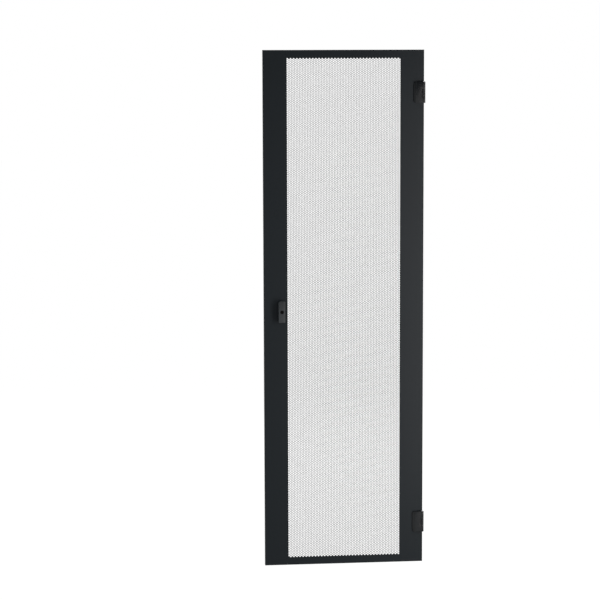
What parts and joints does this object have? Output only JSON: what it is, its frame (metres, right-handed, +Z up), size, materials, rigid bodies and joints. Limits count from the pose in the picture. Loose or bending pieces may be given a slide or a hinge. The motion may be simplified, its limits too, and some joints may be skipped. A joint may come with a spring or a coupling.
{
  "type": "perforated rack door",
  "caption": "Tall perforated sheet-steel front door for a server rack, with a lockable wing handle that draws two locking rods and barrel hinges at one edge.",
  "frame": {"origin": "middle of the lower hinge's two screw holes, on the face that lies on the rack", "axes": "+X across the door to the hinge edge, -Y out of the door's front, +Z up"},
  "size_m": [0.5956, 0.062, 1.91],
  "materials": {
    "sheet_black": "black powder coat, satin",
    "cast_black": "black coated die casting, semi-gloss",
    "grip_black": "dark grey glass-filled plastic, satin",
    "plug_black": "black key plug",
    "black_plastic": "moulded black plastic",
    "washer_nylon": "dark nylon",
    "rubber": "black rubber",
    "zinc_steel": "bright zinc-plated steel",
    "cast_zinc": "bare die casting",
    "gear_brass": "sintered bronze"
  },
  "bodies": {
    "rack_side": {"upper_rack_leaf": "cast_black", "lower_rack_leaf": "cast_black", "upper_hinge_pin": "zinc_steel", "lower_hinge_pin": "zinc_steel"},
    "handle": {"wing_handle": "grip_black", "drive_shaft": "zinc_steel", "pinion": "gear_brass", "cam_spacer": "zinc_steel", "latch_cam": "zinc_steel", "cam_washer": "zinc_steel", "cam_screw": "zinc_steel"},
    "key": {"key_plug": "plug_black"},
    "upper_bolt": {"upper_slide": "zinc_steel", "upper_rod": "zinc_steel", "upper_rod_screw": "zinc_steel", "upper_rod_tip": "black_plastic"},
    "lower_bolt": {"lower_slide": "zinc_steel", "lower_rod": "zinc_steel", "lower_rod_screw": "zinc_steel", "lower_rod_tip": "black_plastic"},
    "door": {"door_sheet": "sheet_black", "lock_side_stiffener": "sheet_black", "hinge_side_stiffener": "sheet_black", "upper_door_leaf": "cast_black", "lower_door_leaf": "cast_black", "upper_leaf_screws": "zinc_steel", "lower_leaf_screws": "zinc_steel", "upper_hinge_washers": "washer_nylon", "lower_hinge_washers": "washer_nylon", "lock_housing": "black_plastic", "housing_gasket": "rubber", "fixing_nut": "zinc_steel", "gearbox_case": "cast_zinc", "gearbox_cover": "zinc_steel", "gearbox_studs": "zinc_steel", "gearbox_nuts": "zinc_steel", "upper_rod_guides": "black_plastic", "lower_rod_guides": "black_plastic", "earth_stud": "zinc_steel", "earth_washer": "zinc_steel", "earth_nut": "zinc_steel", "rubber_buffers": "rubber"}
  },
  "joints": [
    {"name": "door_swing", "type": "hinge", "parent": "rack_side", "child": "door", "pos_m": [0.0146, -0.0348, 0], "axis": [0, 0, 1], "range_deg": [0, 180]},
    {"name": "handle_turn", "type": "hinge", "parent": "door", "child": "handle", "pos_m": [-0.5113, -0.0268, 0.8], "axis": [0, 1, 0], "range_deg": [0, 90]},
    {"name": "key_turn", "type": "hinge", "parent": "handle", "child": "key", "pos_m": [-0.5113, -0.0468, 0.8], "axis": [0, 1, 0], "range_deg": [0, 90]},
    {"name": "upper_rod_draw", "type": "slide", "parent": "door", "child": "upper_bolt", "axis": [0, 0, -1], "range_m": [0, 0.01767]},
    {"name": "lower_rod_draw", "type": "slide", "parent": "door", "child": "lower_bolt", "axis": [0, 0, 1], "range_m": [0, 0.0177]}
  ],
  "couplings": [
    {"joint": "handle_turn", "follows": "upper_rod_draw", "rad_per_m": 88.889},
    {"joint": "lower_rod_draw", "follows": "upper_rod_draw", "ratio": 1}
  ]
}
